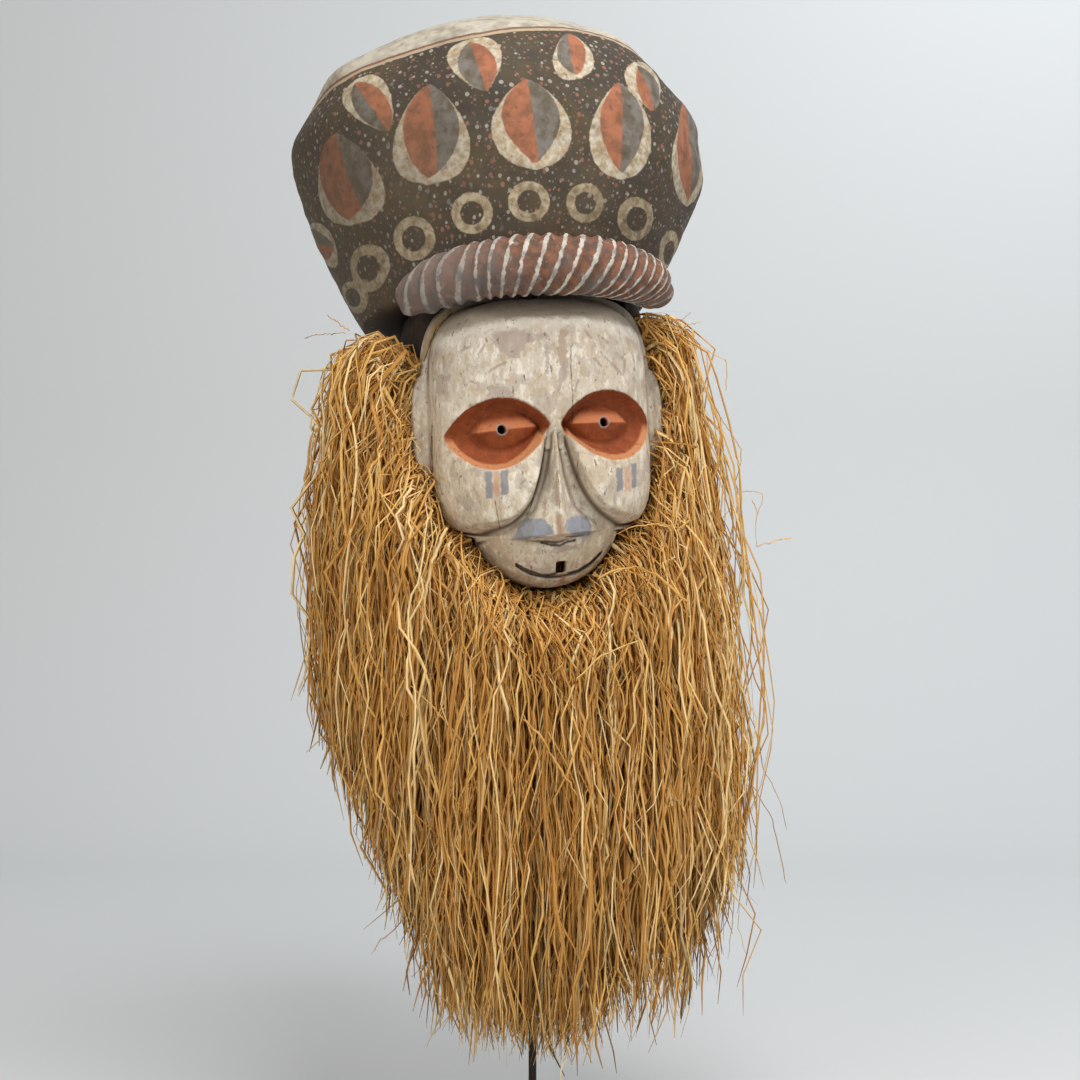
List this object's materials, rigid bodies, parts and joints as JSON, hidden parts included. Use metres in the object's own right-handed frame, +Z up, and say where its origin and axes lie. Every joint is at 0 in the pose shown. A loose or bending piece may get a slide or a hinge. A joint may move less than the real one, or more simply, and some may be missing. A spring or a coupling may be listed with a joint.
{
  "type": "yaka mask",
  "caption": "Carved and painted wooden face mask with a tall painted cloth headdress, padded brow roll, dark hood and long raffia fringe, held up on a rod and foot plate.",
  "frame": {"origin": "middle of the foot plate's underside, straight below the rod", "axes": "+Z up along the rod; the carved face looks along -Y; +X is on the viewer's right"},
  "size_m": [0.4696, 0.4332, 1.1194],
  "materials": {
    "chalked_wood": "chalky off-white paint over carved wood, worn to mauve-brown wood",
    "painted_cloth": "stiff resin-coated cloth, dark ground with painted dots, rings and drops",
    "striped_roll": "resin-coated padded roll, red-brown with white slanting stripes",
    "dark_cloth": "dull near-black woven cloth",
    "raffia": "dry golden palm fibre, slightly glossy strands",
    "bronzed_steel": "dark bronze-brown satin lacquer"
  },
  "bodies": {
    "root": {"carved_face": "chalked_wood", "headdress": "painted_cloth", "brow_roll": "striped_roll", "hood_cloth": "dark_cloth", "raffia_fringe": "raffia", "display_rod": "bronzed_steel", "foot_plate": "bronzed_steel"}
  },
  "joints": []
}
